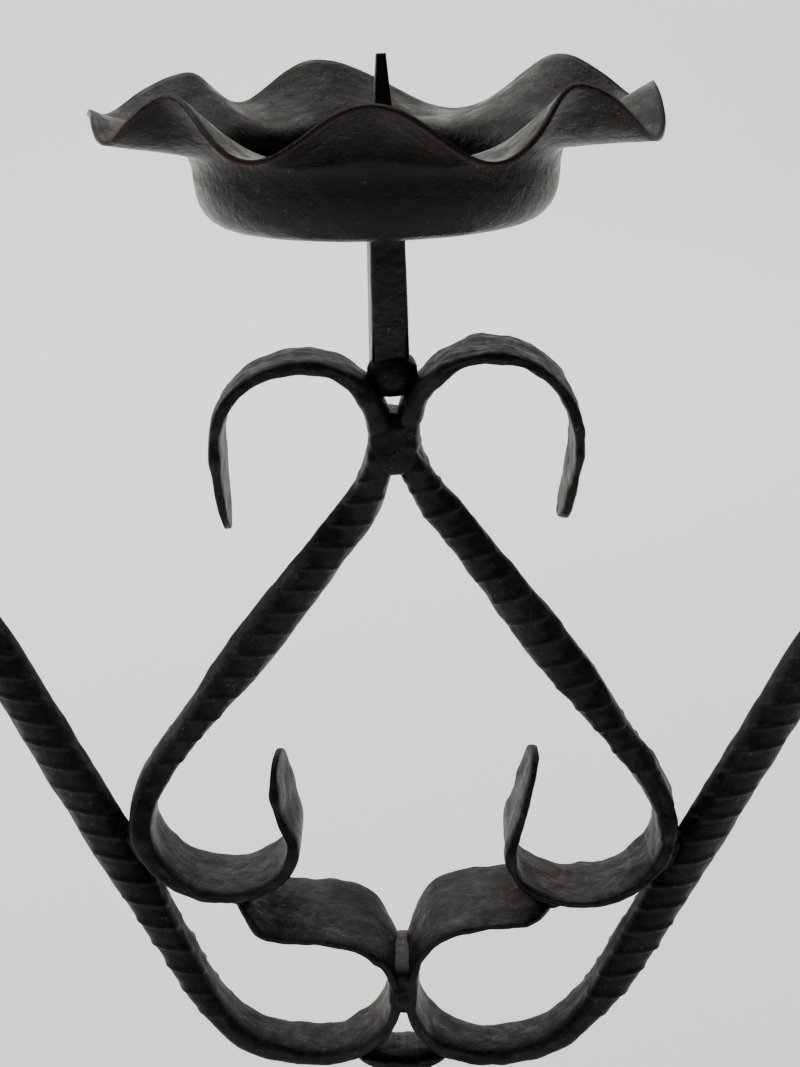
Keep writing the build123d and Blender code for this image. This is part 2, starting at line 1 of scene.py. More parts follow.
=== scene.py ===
import logging
import math
from dataclasses import dataclass, field
from enum import Enum
from typing import Any, Optional, Sequence

import bmesh
import bpy
from mathutils import Matrix, Vector, noise


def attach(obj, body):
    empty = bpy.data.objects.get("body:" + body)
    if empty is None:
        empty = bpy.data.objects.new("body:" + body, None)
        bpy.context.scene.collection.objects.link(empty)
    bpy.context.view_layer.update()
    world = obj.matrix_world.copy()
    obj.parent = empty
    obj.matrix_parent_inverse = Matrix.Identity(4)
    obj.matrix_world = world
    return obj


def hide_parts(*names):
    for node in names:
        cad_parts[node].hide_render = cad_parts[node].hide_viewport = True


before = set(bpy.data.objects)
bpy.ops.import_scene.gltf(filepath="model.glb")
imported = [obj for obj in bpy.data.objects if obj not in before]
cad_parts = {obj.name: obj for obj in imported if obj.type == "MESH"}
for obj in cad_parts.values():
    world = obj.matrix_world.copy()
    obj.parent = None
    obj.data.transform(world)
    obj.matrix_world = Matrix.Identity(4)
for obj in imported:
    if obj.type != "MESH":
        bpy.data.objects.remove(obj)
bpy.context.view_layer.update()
LOG = logging.getLogger("candelabra")
BODY = "root"

# Metres in a millimetre.
MM = 0.001

# How finely a span is measured, and the rings that round a tip, that many degrees apart.
LENGTH_STEPS = 32
TIP_RINGS = 9
TIP_DEGREES = 9

# How closely a lump's own streaks lie, per metre.
LUMP_STREAKS = 40

Tree = bpy.types.NodeTree
Socket = bpy.types.NodeSocket


class Side(Enum):
    """Which half of the frame a bar belongs to, as the sign of its X."""

    LEFT = -1
    RIGHT = 1


class Slot(Enum):
    """Material slots of the record."""

    BAR = "forged_bar"
    SHEET = "pan_sheet"
    WELD = "weld_metal"


@dataclass(frozen=True)
class Bend:
    """One chosen place along a bar, in millimetres and degrees, as in the CAD source."""

    out: float
    up: float
    heading: float
    thick: float
    deep: float
    shape: float = 5.0
    turn: float = 0.0


@dataclass(frozen=True)
class Flute:
    """One flute of a pan's flange: its crest's angle and slope, and the next valley's slope."""

    angle: float
    crest: float
    valley: float


@dataclass(frozen=True)
class Station:
    """A place along a bar with the section it has there, in millimetres."""

    spot: Vector
    way: Vector
    run: float
    thick: float
    deep: float
    shape: float
    turn: float


def ramp(low: float, high: float, value: float) -> float:
    """A smooth step from 0 at low to 1 at high.

    Args:
        low: Value that gives 0.
        high: Value that gives 1, which may be below low.
        value: Value to place between them.

    Returns:
        A share from 0 to 1.
    """
    share = min(1.0, max(0.0, (value - low) / (high - low)))
    return share * share * (3 - 2 * share)


def ease(a: float, b: float, share: float) -> float:
    """A value between a and b that leaves both of them gently.

    Args:
        a: Value at share 0.
        b: Value at share 1.
        share: How far from a to b.

    Returns:
        The value in between.
    """
    return a + (b - a) * share * share * (3 - 2 * share)


def direction(heading: float) -> Vector:
    """The unit vector of a heading in degrees from straight out, turning up."""
    angle = math.radians(heading)
    return Vector((math.cos(angle), 0, math.sin(angle)))


def grain(spot: Vector, size: float, seed: float) -> float:
    """Smooth noise whose lumps are about size millimetres across.

    Args:
        spot: Place in millimetres.
        size: Width of one lump.
        seed: Moves the pattern, so that no two pieces share it.

    Returns:
        A value from about -1 to 1.
    """
    return noise.noise(spot / size + Vector((seed, 1.7 * seed, -seed)))


def wrapped_grid(rings: Sequence[Sequence[Vector]], lengths: Sequence[float]) -> bmesh.types.BMesh:
    """A tube whose grid of faces is laid on rings of points.

    Args:
        rings: Rings of points in millimetres, all with the same number of points.
        lengths: Distance along the tube of each ring, in millimetres, for the UV map.

    Returns:
        An open tube with its seam merged, in metres.
    """
    around = len(rings[0])
    bm = bmesh.new()
    uv = bm.loops.layers.uv.new("Along")
    bmesh.ops.create_grid(bm, x_segments=around, y_segments=len(rings) - 1, size=1, calc_uvs=True)
    bm.verts.ensure_lookup_table()
    for row, ring in enumerate(rings):
        for column in range(around + 1):
            bm.verts[row * (around + 1) + column].co = ring[column % around] * MM
    last = len(rings) - 1
    for face in bm.faces:
        for loop in face.loops:
            u, v = loop[uv].uv
            loop[uv].uv = (u, lengths[round(v * last)] * MM)
    bmesh.ops.remove_doubles(bm, verts=bm.verts, dist=1e-7)
    return bm


def close_ends(bm: bmesh.types.BMesh) -> None:
    """Fill every open end of a tube and turn all faces outwards.

    Args:
        bm: Tube to close.
    """
    rim = [edge for edge in bm.edges if edge.is_boundary]
    if rim:
        bmesh.ops.holes_fill(bm, edges=rim, sides=0)
    bmesh.ops.recalc_face_normals(bm, faces=bm.faces)


def lay_streaks(bm: bmesh.types.BMesh) -> None:
    """Give a lump a plain UV map, seen from the front, for its streaks.

    Args:
        bm: Lump with an empty UV map.
    """
    uv = bm.loops.layers.uv["Along"]
    for face in bm.faces:
        for loop in face.loops:
            loop[uv].uv = (loop.vert.co.x * LUMP_STREAKS, loop.vert.co.z)


def set_down(
    bm: bmesh.types.BMesh,
    name: str,
    nodes: Sequence[str],
    slot: Optional[Slot],
    material: bpy.types.Material,
) -> bpy.types.Object:
    """Make an object of a mesh, ride it on the frame and let it stand for CAD nodes.

    Args:
        bm: Finished mesh in metres, which is freed.
        name: Name of the piece.
        nodes: CAD nodes that it stands for.
        slot: The record's material slot, or None for the studio.
        material: Finish of the piece.

    Returns:
        The new object, at the origin and unturned.
    """
    mesh = bpy.data.meshes.new(name)
    bm.to_mesh(mesh)
    bm.free()
    mesh.polygons.foreach_set("use_smooth", [True] * len(mesh.polygons))
    mesh.materials.append(material)
    piece = bpy.data.objects.new(name, mesh)
    bpy.context.scene.collection.objects.link(piece)
    if slot is None:
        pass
    else:
        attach(piece, BODY)
        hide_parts(*nodes)
    LOG.info("%s: %d faces", name, len(mesh.polygons))
    return piece


def to_linear(hex_colour: str) -> tuple[float, float, float, float]:
    """Linear colour of an sRGB hex value such as #3A3D41.

    Args:
        hex_colour: Six hex digits after a hash sign.

    Returns:
        Red, green, blue and alpha.
    """
    parts = [int(hex_colour[i : i + 2], 16) / 255 for i in (1, 3, 5)]
    red, green, blue = [c / 12.92 if c <= 0.04045 else ((c + 0.055) / 1.055) ** 2.4 for c in parts]
    return red, green, blue, 1.0


def per_mm(size: float) -> float:
    """Noise scale on Object coordinates for a pattern of that many millimetres."""
    return 1 / (size * MM)


def add_node(
    tree: Tree,
    kind: str,
    settings: Optional[dict[str, Any]] = None,
    links: Optional[dict[Any, Socket]] = None,
) -> bpy.types.Node:
    """Add a node with its settings and links.

    Args:
        tree: Node tree to add to.
        kind: Type name of the node.
        settings: Values by attribute or input name.
        links: Sockets that feed the node, by input name or number.

    Returns:
        The new node.
    """
    node = tree.nodes.new(kind)
    for key, value in (settings or {}).items():
        if isinstance(key, int) or key in node.inputs:
            node.inputs[key].default_value = value
        else:
            setattr(node, key, value)
    for key, socket in (links or {}).items():
        tree.links.new(socket, node.inputs[key])
    return node


def add_ramp(tree: Tree, source: Socket, low: float, high: float) -> Socket:
    """Spread a value so that low becomes 0 and high becomes 1.

    Args:
        tree: Node tree to add to.
        source: Value to spread.
        low: Value that becomes 0.
        high: Value that becomes 1.

    Returns:
        The spread value's socket.
    """
    settings = {"interpolation_type": "SMOOTHSTEP", "From Min": low, "From Max": high}
    return add_node(tree, "ShaderNodeMapRange", settings, {"Value": source}).outputs["Result"]


@dataclass(frozen=True)
class BlackenedSteel:
    """Mild steel, forged hot and blackened with oil over its scale.

    The scale gives a near-black, faintly blue satin; handling and house dust, with a painted sheen of the
    top light, grey whatever faces up, and crotches that could not be wiped keep a trace of brown rust.
    """

    name: str
    dark: str = "#050608"
    light: str = "#14161A"
    # Grey of dust specks, and of the dust and painted sheen of the top light on up-facing faces.
    dust: str = "#6E6A62"
    rust: str = "#3A2418"
    worn: str = "#2B1B15"
    # Share of dust and painted sheen on up-facing faces.
    dust_and_sheen_share: float = 0.2
    speck_share: float = 0.35
    rust_share: float = 0.25
    rough_low: float = 0.34
    rough_high: float = 0.6
    dust_rough: float = 1.2
    specular: float = 0.18
    crotches: tuple[tuple[float, float, float, float], ...] = ()
    patch_mm: float = 26.0
    streak_mm: float = 2.2
    speck_mm: float = 1.3
    # Size of the patches of dust and painted sheen on up-facing faces.
    dust_and_sheen_mm: float = 2.6
    pit_mm: float = 0.9
    dent_mm: float = 5.0
    bump_mm: float = 0.3
    rim_wear: float = 0.0
    streaks_around: float = 22.0
    streak_stretch: float = 4.0
    dent_strength: float = 0.5
    dent_depth: float = 3.0
    pit_strength: float = 0.55
    crotch_share: float = 0.8
    crotch_core: float = 0.2

    # Where noise is cut: the value that gives none and the value that gives all.
    PATCH_CUT = (0.32, 0.68)
    RUST_CUT = (0.52, 0.74)
    STREAK_CUT = (0.35, 0.6)
    # Cut of the patches of dust and painted sheen on up-facing faces.
    DUST_AND_SHEEN_CUT = (0.32, 0.66)
    SPECK_CUT = (0.62, 0.72)
    FLECK_CUT = (0.4, 0.6)
    CROTCH_CUT = (0.3, 0.6)
    WORN_CUT = (0.35, 0.6)
    ROUGH_CUT = (0.3, 0.7)
    UPWARD_CUT = (0.1, 0.95)

    def build(self) -> bpy.types.Material:
        """Make the material.

        Returns:
            A material that reads Object coordinates and the mesh's own attributes.
        """
        material = bpy.data.materials.new(self.name)
        material.use_nodes = True
        tree = material.node_tree
        tree.nodes.clear()
        place = add_node(tree, "ShaderNodeTexCoord").outputs["Object"]
        patches = self.noise(tree, place, self.patch_mm, 4.0, 0.6)
        streaks = self.streaks(tree)
        # Dust on up-facing faces, broken up by noise, which also paints the sheen of the top light there in
        # grey.
        settled = add_ramp(tree, self.noise(tree, place, self.dust_and_sheen_mm, 5.0, 0.65), *self.DUST_AND_SHEEN_CUT)
        dust_and_sheen = self.shares(tree, self.dust_and_sheen_share, self.upward(tree), settled)
        shader = add_node(
            tree,
            "ShaderNodeBsdfPrincipled",
            {"Metallic": 0.0, "Specular IOR Level": self.specular},
            {
                "Base Color": self.colour(tree, place, patches, streaks, dust_and_sheen),
                "Roughness": self.roughness(tree, streaks, dust_and_sheen),
                "Normal": self.bumps(tree, place),
            },
        )
        add_node(tree, "ShaderNodeOutputMaterial", None, {"Surface": shader.outputs["BSDF"]})
        return material

    def colour(self, tree: Tree, place: Socket, patches: Socket, streaks: Socket, dust_and_sheen: Socket) -> Socket:
        """Patchy scale with rust, dust, specks and wear over it, and a painted sheen of the top light where
        it faces up.

        Args:
            tree: Node tree to add to.
            place: Coordinates.
            patches: Broad noise.
            streaks: Streak value.
            dust_and_sheen: How much dust and painted sheen lie on the surface.

        Returns:
            The colour's socket.
        """
        base = self.mix(tree, self.dark, self.light, add_ramp(tree, patches, *self.PATCH_CUT))
        rusty = add_ramp(tree, patches, *self.RUST_CUT)
        rusty = self.shares(tree, self.rust_share, rusty, add_ramp(tree, streaks, *self.STREAK_CUT))
        base = self.mix(tree, base, self.rust, rusty)
        # Painted sheen and dust: up-facing faces are mixed towards the grey dust colour.
        base = self.mix(tree, base, self.dust, dust_and_sheen)
        specks = self.noise(tree, place, self.speck_mm, 2.0, 0.6)
        flecks = add_ramp(tree, specks, *self.SPECK_CUT)
        flecks = self.shares(tree, self.speck_share, flecks, add_ramp(tree, patches, *self.FLECK_CUT))
        base = self.mix(tree, base, self.dust, flecks)
        for x, y, z, reach in self.crotches:
            spot = {1: (x * MM, y * MM, z * MM), "operation": "DISTANCE"}
            away = add_node(tree, "ShaderNodeVectorMath", spot, {0: place}).outputs["Value"]
            near = add_ramp(tree, away, reach * MM, self.crotch_core * reach * MM)
            brown = self.shares(tree, self.crotch_share, near, add_ramp(tree, patches, *self.CROTCH_CUT))
            base = self.mix(tree, base, self.rust, brown)
        if self.rim_wear:
            rim = add_node(tree, "ShaderNodeAttribute", {"attribute_name": "rim"}).outputs["Fac"]
            worn = self.shares(tree, self.rim_wear, rim, add_ramp(tree, specks, *self.WORN_CUT))
            base = self.mix(tree, base, self.worn, worn)
        return base

    def roughness(self, tree: Tree, streaks: Socket, dust_and_sheen: Socket) -> Socket:
        """A satin that varies with the streaks and is dull where the dust and the painted sheen lie.

        Args:
            tree: Node tree to add to.
            streaks: Streak value.
            dust_and_sheen: How much dust and painted sheen lie on the surface.

        Returns:
            The roughness socket.
        """
        low, high = self.ROUGH_CUT
        satin = add_node(
            tree,
            "ShaderNodeMapRange",
            {"From Min": low, "From Max": high, "To Min": self.rough_low, "To Max": self.rough_high},
            {"Value": streaks},
        ).outputs["Result"]
        settings = {"operation": "MULTIPLY_ADD", 1: self.dust_rough}
        return add_node(tree, "ShaderNodeMath", settings, {0: dust_and_sheen, 2: satin}).outputs[0]

    def noise(self, tree: Tree, place: Socket, size: float, detail: float, rough: float) -> Socket:
        """Noise of a size in millimetres.

        Args:
            tree: Node tree to add to.
            place: Coordinates.
            size: Width of one lump in millimetres.
            detail: Octaves.
            rough: Share of each finer octave.

        Returns:
            The noise value's socket.
        """
        settings = {"Scale": per_mm(size), "Detail": detail, "Roughness": rough}
        return add_node(tree, "ShaderNodeTexNoise", settings, {"Vector": place}).outputs["Fac"]

    def streaks(self, tree: Tree) -> Socket:
        """Fine streaks along the piece, left by drawing out and wiping.

        Args:
            tree: Node tree to add to.

        Returns:
            The streak value's socket.
        """
        along = add_node(tree, "ShaderNodeUVMap", {"uv_map": "Along"}).outputs["UV"]
        scale = (self.streaks_around, per_mm(self.streak_stretch * self.streak_mm), 1.0)
        squeezed = add_node(tree, "ShaderNodeMapping", {"Scale": scale}, {"Vector": along}).outputs["Vector"]
        settings = {"Scale": 1.0, "Detail": 5.0, "Roughness": 0.65}
        return add_node(tree, "ShaderNodeTexNoise", settings, {"Vector": squeezed}).outputs["Fac"]

    def upward(self, tree: Tree) -> Socket:
        """How much the surface faces up, where dust settles and where a sheen of the top light is painted.

        Args:
            tree: Node tree to add to.

        Returns:
            A socket from 0 on walls to 1 on level places.
        """
        normal = add_node(tree, "ShaderNodeNewGeometry").outputs["Normal"]
        parts = add_node(tree, "ShaderNodeSeparateXYZ", None, {"Vector": normal})
        return add_ramp(tree, parts.outputs["Z"], *self.UPWARD_CUT)

    def shares(self, tree: Tree, most: float, a: Socket, b: Socket) -> Socket:
        """The product of two shares and a highest value.

        Args:
            tree: Node tree to add to.
            most: Value where both shares are 1.
            a: First share.
            b: Second share.

        Returns:
            The product's socket.
        """
        both = add_node(tree, "ShaderNodeMath", {"operation": "MULTIPLY"}, {0: a, 1: b}).outputs[0]
        return add_node(tree, "ShaderNodeMath", {"operation": "MULTIPLY", 1: most}, {0: both}).outputs[0]

    def mix(self, tree: Tree, a: Any, b: str, share: Socket) -> Socket:
        """Colour a with share of colour b over it.

        Args:
            tree: Node tree to add to.
            a: Hex value or socket.
            b: Hex value.
            share: How much of b.

        Returns:
            The mixed colour's socket.
        """
        settings: dict[Any, Any] = {"data_type": "RGBA", 7: to_linear(b)}
        links: dict[Any, Socket] = {0: share}
        if isinstance(a, str):
            settings[6] = to_linear(a)
        else:
            links[6] = a
        return add_node(tree, "ShaderNodeMix", settings, links).outputs[2]

    def bumps(self, tree: Tree, place: Socket) -> Socket:
        """Fine pits of the scale over shallow hammer dents.

        Args:
            tree: Node tree to add to.
            place: Coordinates.

        Returns:
            The bent normal's socket.
        """
        dents = self.noise(tree, place, self.dent_mm, 2.0, 0.5)
        pits = self.noise(tree, place, self.pit_mm, 3.0, 0.6)
        deep = {"Strength": self.dent_strength, "Distance": self.bump_mm * self.dent_depth * MM}
        fine = {"Strength": self.pit_strength, "Distance": self.bump_mm * MM}
        low = add_node(tree, "ShaderNodeBump", deep, {"Height": dents}).outputs["Normal"]
        return add_node(tree, "ShaderNodeBump", fine, {"Height": pits, "Normal": low}).outputs["Normal"]


@dataclass(frozen=True)
class Ribs:
    """Rolled ribs of a bar and what the hammer left of them, in millimetres."""

    pitch: float = 8.9
    height: float = 0.75
    sink: float = 0.25
    below: float = 0.6
    above: float = 1.15
    lean: float = 0.8
    seam_height: float = 0.4
    seam_turn: float = 8.0
    step: float = 0.15
    dent: float = 0.45
    dent_size: float = 10.0
    wobble: float = 1.8

    # Thickness and section shape over which a flat part turns into round bar.
    ROUND_THICK = (7.0, 11.0)
    ROUND_SHAPE = (3.6, 2.6)

    # Share and size of the fine dents between the large ones.
    FINE_SHARE = 0.35
    FINE_SIZE = 3.2

    # How a rib wavers and fades towards the seams, and how wide a seam is.
    WAVER = 0.5
    WAVER_SIZE = 14
    CRESCENT = (0.2, 0.75)
    SEAM_WIDTH = 0.25

    # On a flat: the pitch drawn out, its waver, a step's steep face, and the waves of the edges.
    DRAWN = 1.08
    FLAT_WAVER = 2.5
    FLAT_WAVER_SIZE = 25
    STEP_FACE = 0.86
    STEP_THICK = (2.0, 7.0)
    EDGE_APART = 5
    EDGE_SIZE = 7

    def relief(self, at: Station, angle: float, across: float, spot: Vector, seed: float) -> float:
        """Height of the surface over the plain section.

        Args:
            at: Place along the bar.
            angle: Angle around the section from the back, in radians.
            across: Distance from the middle in the plane of the bend.
            spot: Place on the surface, in millimetres.
            seed: The piece's own seed.

        Returns:
            Height in millimetres, below 0 between the ribs because the section is measured near their tops.
        """
        rounded = ramp(*self.ROUND_THICK, at.thick) * ramp(*self.ROUND_SHAPE, at.shape)
        height = self.dent * grain(spot, self.dent_size, seed)
        height += self.FINE_SHARE * self.dent * grain(spot, self.FINE_SIZE, seed + 9)
        if rounded > 0:
            height += rounded * (self.rib(at, angle, across, seed) - self.sink)
        if rounded < 1:
            height += (1 - rounded) * self.flattened(at, angle, seed)
        return height

    def rib(self, at: Station, angle: float, across: float, seed: float) -> float:
        """Height of the rolled ribs over the core of the bar.

        Args:
            at: Place along the bar.
            angle: Angle around the section from the back, in radians.
            across: Distance from the middle in the plane of the bend.
            seed: The piece's own seed.

        Returns:
            Height in millimetres.
        """
        waver = self.WAVER * grain(Vector((at.run, 0, 0)), self.WAVER_SIZE, seed)
        phase = (at.run + self.lean * across + waver) / self.pitch
        gap = (phase - math.floor(phase) - 0.5) * self.pitch
        crest = math.exp(-((gap / (self.below if gap > 0 else self.above)) ** 2))
        crescent = ramp(*self.CRESCENT, abs(math.cos(angle)))
        turned = angle - math.radians(self.seam_turn)
        seam = math.exp(-((math.cos(turned) / self.SEAM_WIDTH) ** 2))
        return max(self.height * crest * crescent, self.seam_height * seam)

    def flattened(self, at: Station, angle: float, seed: float) -> float:
        """Steps that the ribs leave on a part beaten flat, and the waves of its edges.

        Args:
            at: Place along the bar.
            angle: Angle around the section from the back, in radians.
            seed: The piece's own seed.

        Returns:
            Height in millimetres.
        """
        waver = self.FLAT_WAVER * grain(Vector((at.run, 0, 0)), self.FLAT_WAVER_SIZE, seed)
        phase = (at.run + waver) / (self.pitch * self.DRAWN)
        saw = phase - math.floor(phase)
        shingle = saw * ramp(1.0, self.STEP_FACE, saw) - 0.5
        broad = abs(math.sin(angle))
        room = ramp(*self.STEP_THICK, at.thick)
        apart = self.EDGE_APART * math.copysign(1, math.cos(angle))
        edge = self.wobble * grain(Vector((at.run, apart, 0)), self.EDGE_SIZE, seed)
        return self.step * shingle * broad * room + edge * (1 - broad)


@dataclass
class Piece:
    """A piece of the candelabra that stands for one CAD node."""

    name: str
    node: str

    SLOT = Slot.BAR

    def build(self) -> bmesh.types.BMesh:
        """Make the mesh, which every kind of piece does in its own way."""
        raise NotImplementedError

    def dress(self, material: bpy.types.Material) -> bpy.types.Object:
        """Build the piece and set it down in place of its CAD node.

        Args:
            material: Finish of the piece.

        Returns:
            The finished piece.
        """
        return set_down(self.build(), self.name, [self.node], self.SLOT, material)


@dataclass
class ForgedBar(Piece):
    """A bar forged along its bends, with its ribs, flats, tips and hammer marks."""

    bends: Sequence[Bend]
    side: Side = Side.RIGHT
    ribs: Ribs = field(default_factory=Ribs)
    contact: Optional[float] = None
    tip_first: bool = False
    tip_last: bool = False
    turn: float = 0.0
    seed: float = 1.0
    step: float = 0.62
    points: int = 56
    tip_round: float = 7.0
    straight: bool = False
    place: Matrix = field(default_factory=Matrix)

    LEAST_GAP = 0.02

    def build(self) -> bmesh.types.BMesh:
        """Loft the bar.

        Returns:
            A closed mesh in metres, with its UV map along the bar.
        """
        stations = self.stations()
        rings = [self.ring(at) for at in stations]
        bm = wrapped_grid(rings, [at.run for at in stations])
        close_ends(bm)
        return bm

    def stations(self) -> list[Station]:
        """Close places along the bar, closer still where a tip is rounded.

        Returns:
            The places in order.
        """
        result: list[Station] = []
        run = 0.0
        last = len(self.bends) - 2
        for index, (a, b) in enumerate(zip(self.bends, self.bends[1:])):
            points = self.control_points(a, b)
            length = self.length(points)
            shares = self.shares(length, self.tip_first and index == 0, self.tip_last and index == last)
            for share, full in shares if index == 0 else shares[1:]:
                spot, way = self.bezier(points, share)
                thick = self.between(a.thick, b.thick, share) * (1 + full) / 2
                deep = self.between(a.deep, b.deep, share) * full
                shape = self.between(a.shape, b.shape, share)
                turn = self.between(a.turn, b.turn, share)
                result.append(Station(spot, way, run + length * share, thick, deep, shape, turn))
            run += length
        return result

    def length(self, points: Sequence[Vector]) -> float:
        """Length of the span that these control points give."""
        spots = [self.bezier(points, i / LENGTH_STEPS)[0] for i in range(LENGTH_STEPS + 1)]
        return sum((b - a).length for a, b in zip(spots, spots[1:]))

    def shares(self, length: float, rounds_first: bool, rounds_last: bool) -> list[tuple[float, float]]:
        """Where along a span its rings lie, and how full each ring is.

        Args:
            length: Length of the span.
            rounds_first: Whether the span begins with a rounded tip.
            rounds_last: Whether it ends with one.

        Returns:
            Shares of the span, each with the fullness of its ring.
        """
        count = max(2, round(length / self.step))
        result = [(i / count, 1.0) for i in range(count + 1)]
        tip = self.tip_round / length
        turns = [math.radians(TIP_DEGREES * (i + 1)) for i in range(TIP_RINGS)]
        rounding = [(tip * (1 - math.cos(turn)), math.sin(turn)) for turn in turns]
        if rounds_first:
            result = rounding + [s for s in result if s[0] > tip]
        if rounds_last:
            result = [s for s in result if s[0] < 1 - tip] + [(1 - t, full) for t, full in rounding[::-1]]
        return result

    def between(self, a: float, b: float, share: float) -> float:
        """A size between two bends, straight or eased."""
        return a + (b - a) * share if self.straight else ease(a, b, share)

    def control_points(self, a: Bend, b: Bend) -> tuple[Vector, Vector, Vector, Vector]:
        """Control points of the middle line from one bend to the next.

        Args:
            a: First bend.
            b: Second bend.

        Returns:
            Start, its handle, the end's handle and the end.
        """
        start, end = Vector((a.out, 0, a.up)), Vector((b.out, 0, b.up))
        turn = math.radians((b.heading - a.heading + 180) % 360 - 180)
        share = 1 / 3 if abs(turn) < 0.01 else 2 / 3 * math.tan(turn / 4) / math.sin(turn / 2)
        reach = (end - start).length * share
        return start, start + reach * direction(a.heading), end - reach * direction(b.heading), end

    def bezier(self, points: Sequence[Vector], share: float) -> tuple[Vector, Vector]:
        """Place and heading at a share of a span.

        Args:
            points: The span's control points.
            share: How far along it.

        Returns:
            The place, and the unit vector along the bar there.
        """
        p0, p1, p2, p3 = points
        rest = 1 - share
        spot = rest**3 * p0 + 3 * rest**2 * share * p1 + 3 * rest * share**2 * p2 + share**3 * p3
        way = rest**2 * (p1 - p0) + 2 * rest * share * (p2 - p1) + share**2 * (p3 - p2)
        return spot, way.normalized()

    def ring(self, at: Station) -> list[Vector]:
        """Points around the bar at one place, in millimetres.

        Args:
            at: Place along the bar.

        Returns:
            The points, with the relief of ribs and hammering.
        """
        depth = Vector((0, 1, 0))
        width = at.way.cross(depth)
        twist = math.radians(at.turn)
        half_deep, half_thick, n = at.deep / 2, at.thick / 2, at.shape
        result = []
        for i in range(self.points):
            angle = 2 * math.pi * (i + 0.5) / self.points
            c, s = math.cos(angle), math.sin(angle)
            radius = (abs(c) ** n + abs(s) ** n) ** (-1 / n)
            x, y = radius * c * half_deep, radius * s * half_thick
            nx = math.copysign(abs(radius * c) ** (n - 1) / half_deep, c)
            ny = math.copysign(abs(radius * s) ** (n - 1) / half_thick, s)
            size = math.hypot(nx, ny)
            flat = at.spot + x * depth + y * width
            lift = self.ribs.relief(at, angle, y, flat, self.seed)
            x, y = x + lift * nx / size, y + lift * ny / size
            x, y = x * math.cos(twist) - y * math.sin(twist), x * math.sin(twist) + y * math.cos(twist)
            result.append(self.settled(at.spot + x * depth + y * width))
        return result

    def settled(self, spot: Vector) -> Vector:
        """A point on its own side of the contact plane, mirrored and turned into place.

        Args:
            spot: Point of the right-hand bar, in millimetres.

        Returns:
            The point where it belongs.
        """
        x = spot.x * self.side.value
        if self.contact is not None:
            gap = (x - self.contact) * self.side.value
            x = self.contact + self.side.value * max(gap, self.LEAST_GAP)
        return self.place @ Vector((x, spot.y, spot.z))


@dataclass
class Leg(ForgedBar):
    """A leg, which is a bar whose sole is beaten flat on the floor."""

    def settled(self, spot: Vector) -> Vector:
        """A point no lower than the floor, turned to the leg's own direction."""
        return self.place @ Vector((spot.x, spot.y, max(spot.z, 0.0)))


